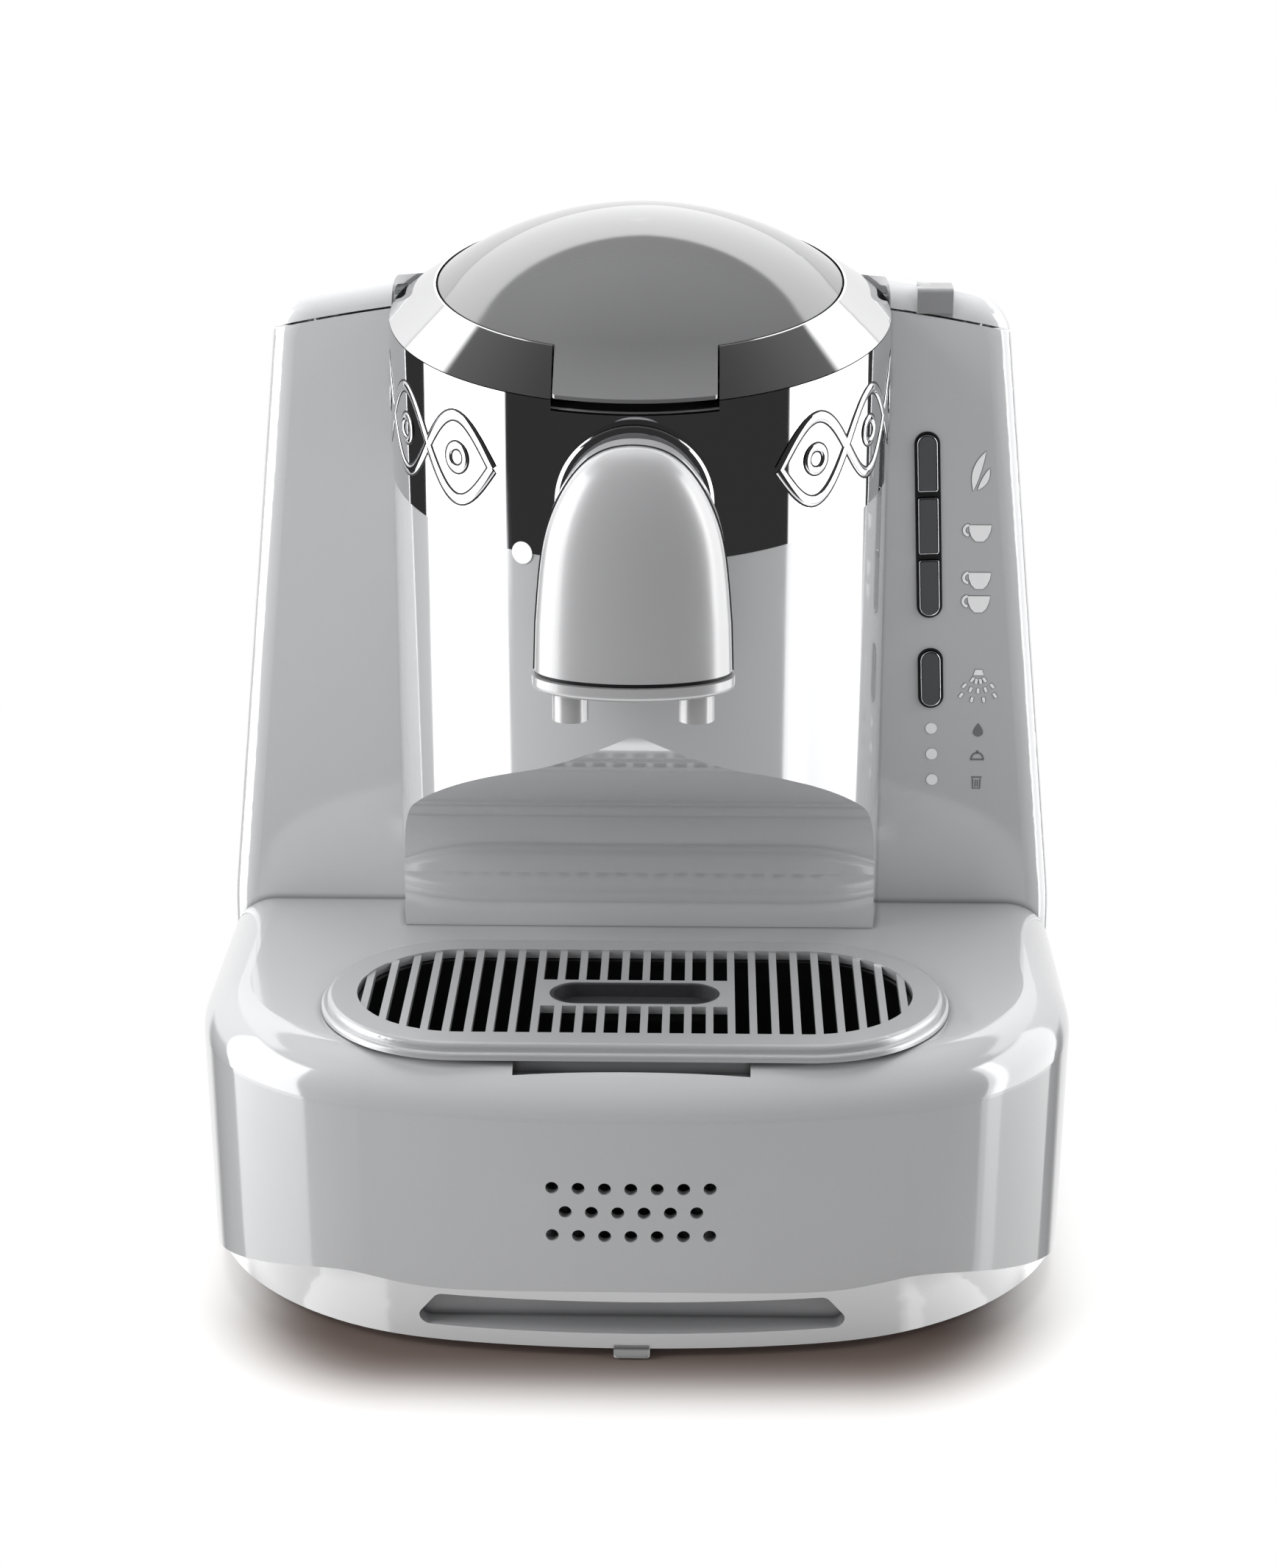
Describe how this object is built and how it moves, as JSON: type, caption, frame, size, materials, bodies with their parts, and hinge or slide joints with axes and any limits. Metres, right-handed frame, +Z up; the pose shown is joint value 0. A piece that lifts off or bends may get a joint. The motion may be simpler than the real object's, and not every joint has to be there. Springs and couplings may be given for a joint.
{
  "type": "electric turkish coffee maker",
  "caption": "Free-standing electric coffee maker with a round brewing column, domed lid, double spout over a cup grille and a water tank behind.",
  "frame": {"origin": "centre of the bounding box's underside, on the table between the feet", "axes": "+Z up, -Y to the front where the cups stand, +X to the right of someone facing it"},
  "size_m": [0.24, 0.245, 0.2893],
  "materials": {
    "shell": "glossy silver grey",
    "deck": "glossy pale grey",
    "column": "glossy pale grey",
    "service": "matt grey",
    "chrome": "bright plated",
    "bezel": "mirror plated",
    "lid": "glossy pale grey",
    "lid_inner": "dark satin",
    "spout": "glossy pale grey",
    "nozzle": "glossy pale grey",
    "dark": "black satin",
    "button": "dark grey matt",
    "steel": "satin stainless",
    "heater": "cast",
    "tube": "satin stainless",
    "rubber": "matt black",
    "hose": "milky silicone",
    "clear": "clear",
    "valve": "white",
    "lens": "smoked clear",
    "sensor": "black",
    "board": "green laminate",
    "post": "grey",
    "winding": "taped coil"
  },
  "bodies": {
    "machine": {"bezel_ring": "bezel", "board_posts": "post", "bottom_cover": "shell", "bottom_screws": "steel", "brew_hose": "hose", "brew_pot": "steel", "button_frame_lower": "chrome", "button_frame_upper": "chrome", "chamber_funnel": "lid_inner", "chrome_band": "chrome", "column_sleeve": "column", "control_board": "board", "cord_gland": "rubber", "deck_cover": "deck", "key_switches": "dark", "lamp_lenses": "lens", "lid_hinge_pin": "steel", "lower_case": "shell", "pot_carrier": "dark", "pot_heater": "heater", "pour_nozzles": "nozzle", "pour_tube": "tube", "power_board": "board", "power_board_posts": "post", "pump_mount": "rubber", "rubber_feet": "rubber", "sensor_body": "sensor", "sensor_window": "lens", "service_cover": "service", "service_screws": "steel", "speaker": "dark", "spout_body": "spout", "spout_collar": "chrome", "spout_cover": "spout", "spout_gasket": "dark", "spout_neck": "chrome", "spout_trim": "chrome", "tab_rest": "dark", "tank_cradle": "dark", "tank_hose": "hose", "tower_shell": "shell", "transformer": "winding", "valve_socket": "dark", "water_pump": "valve"},
    "brew_lid": {"brew_lid": "lid", "lid_liner": "lid_inner", "lid_seal": "rubber"},
    "tank": {"water_tank": "clear", "tank_valve": "valve", "tank_lid_pins": "steel"},
    "tank_lid": {"tank_lid": "shell"},
    "tray": {"drip_container": "dark"},
    "grille": {"cup_grille": "steel", "grille_pocket": "dark"},
    "key_warm": {"button_warm": "button"},
    "key_one_cup": {"button_one_cup": "button"},
    "key_two_cups": {"button_two_cups": "button"},
    "key_clean": {"button_clean": "button"}
  },
  "joints": [
    {"name": "brew_lid_hinge", "type": "hinge", "parent": "machine", "child": "brew_lid", "pos_m": [0, 0.05552, 0.2794], "axis": [-1, 0, 0], "range_deg": [0, 80]},
    {"name": "tank_lift", "type": "slide", "parent": "machine", "child": "tank", "axis": [0, 0, 1], "range_m": [0, 0.18]},
    {"name": "tank_lid_hinge", "type": "hinge", "parent": "tank", "child": "tank_lid", "pos_m": [0, 0.1202, 0.23216], "axis": [-1, 0, 0], "range_deg": [0, 70]},
    {"name": "tray_lift", "type": "slide", "parent": "machine", "child": "tray", "axis": [0, 0, 1], "range_m": [0, 0.026]},
    {"name": "grille_lift", "type": "slide", "parent": "tray", "child": "grille", "axis": [0, 0, 1], "range_m": [0, 0.014]},
    {"name": "key_warm_press", "type": "slide", "parent": "machine", "child": "key_warm", "axis": [0, 1, 0], "range_m": [0, 0.0012], "stiffness_N_per_m": 300, "springref_m": -0.0012},
    {"name": "key_one_cup_press", "type": "slide", "parent": "machine", "child": "key_one_cup", "axis": [0, 1, 0], "range_m": [0, 0.0012], "stiffness_N_per_m": 300, "springref_m": -0.0012},
    {"name": "key_two_cups_press", "type": "slide", "parent": "machine", "child": "key_two_cups", "axis": [0, 1, 0], "range_m": [0, 0.0012], "stiffness_N_per_m": 300, "springref_m": -0.0012},
    {"name": "key_clean_press", "type": "slide", "parent": "machine", "child": "key_clean", "axis": [0, 1, 0], "range_m": [0, 0.0012], "stiffness_N_per_m": 300, "springref_m": -0.0012}
  ]
}
